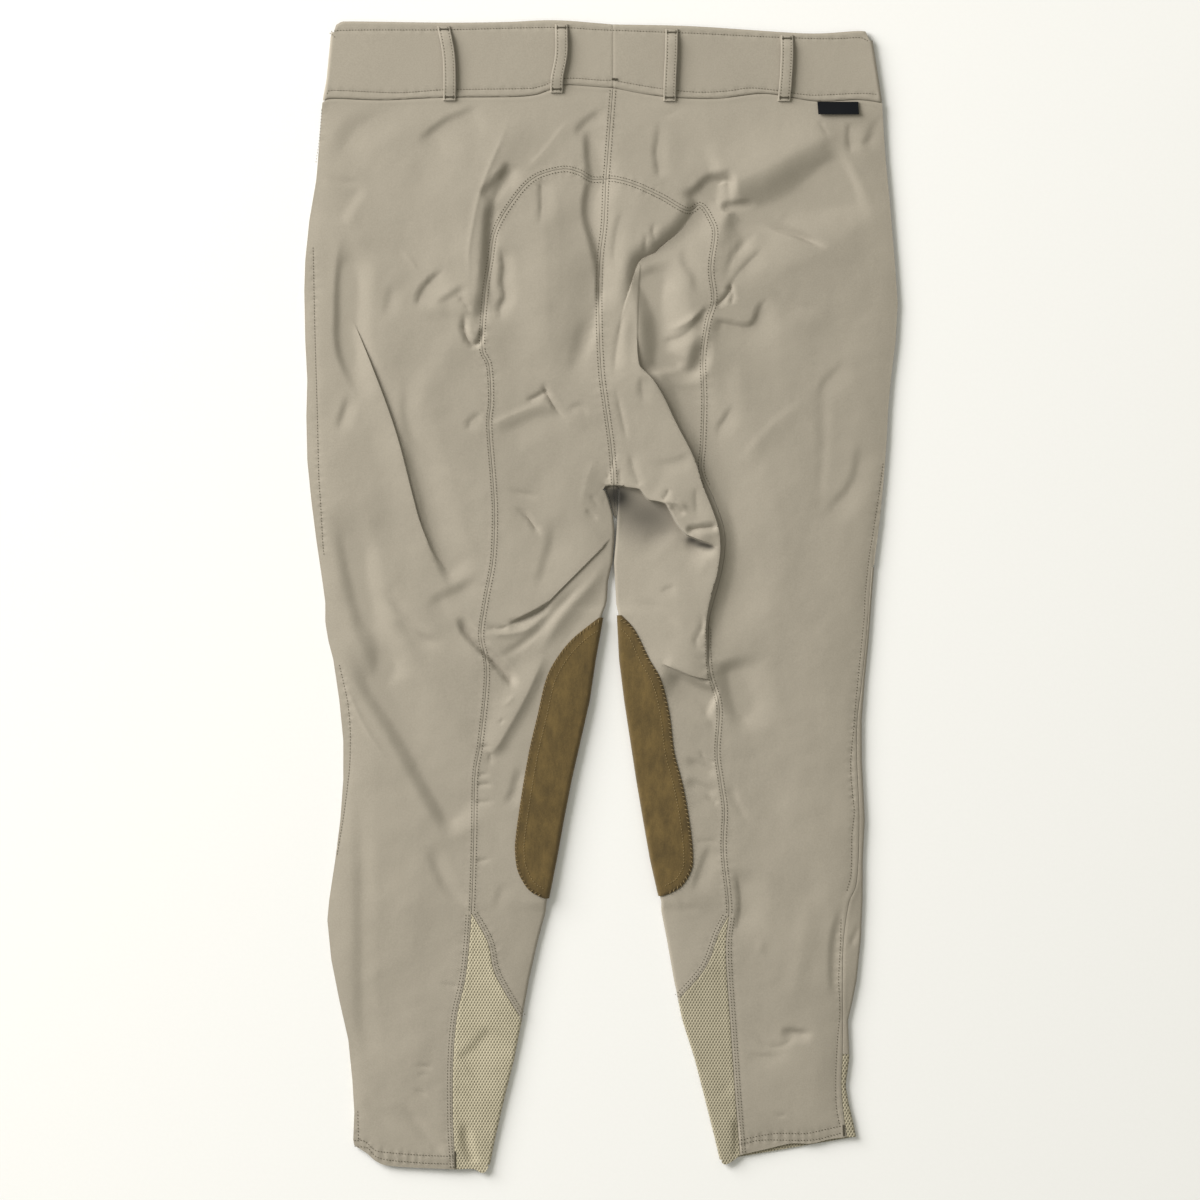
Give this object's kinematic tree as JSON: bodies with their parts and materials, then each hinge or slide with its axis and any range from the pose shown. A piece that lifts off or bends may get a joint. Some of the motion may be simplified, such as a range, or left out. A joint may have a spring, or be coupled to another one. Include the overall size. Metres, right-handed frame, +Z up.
{
  "type": "riding breeches laid flat",
  "caption": "Riding breeches laid flat with the back up: waistband with belt loops, seat panels, suede knee patches and mesh calves.",
  "frame": {"origin": "centre of the garment's outline, on the surface that it lies on", "axes": "+Y towards the waist, +X to the right seen from above, +Z up from the surface"},
  "size_m": [0.4945, 0.9607, 0.0208],
  "materials": {
    "twill": "matt stone-beige stretch twill with fine sewing",
    "suede": "brown synthetic suede with a soft, mottled nap",
    "mesh": "cream knitted mesh with small dark eyelets",
    "tape": "bare near-black woven tape"
  },
  "bodies": {
    "root": {"waistband_left": "twill", "waistband_right": "twill", "belt_loop_1": "twill", "belt_loop_2": "twill", "belt_loop_3": "twill", "belt_loop_4": "twill", "label_tab": "tape", "outer_back_left": "twill", "outer_back_right": "twill", "inner_leg_left": "twill", "inner_leg_right": "twill", "knee_patch_left": "suede", "knee_patch_right": "suede", "calf_mesh_left": "mesh", "calf_mesh_right": "mesh", "front_left": "twill", "front_right": "twill"}
  },
  "joints": []
}
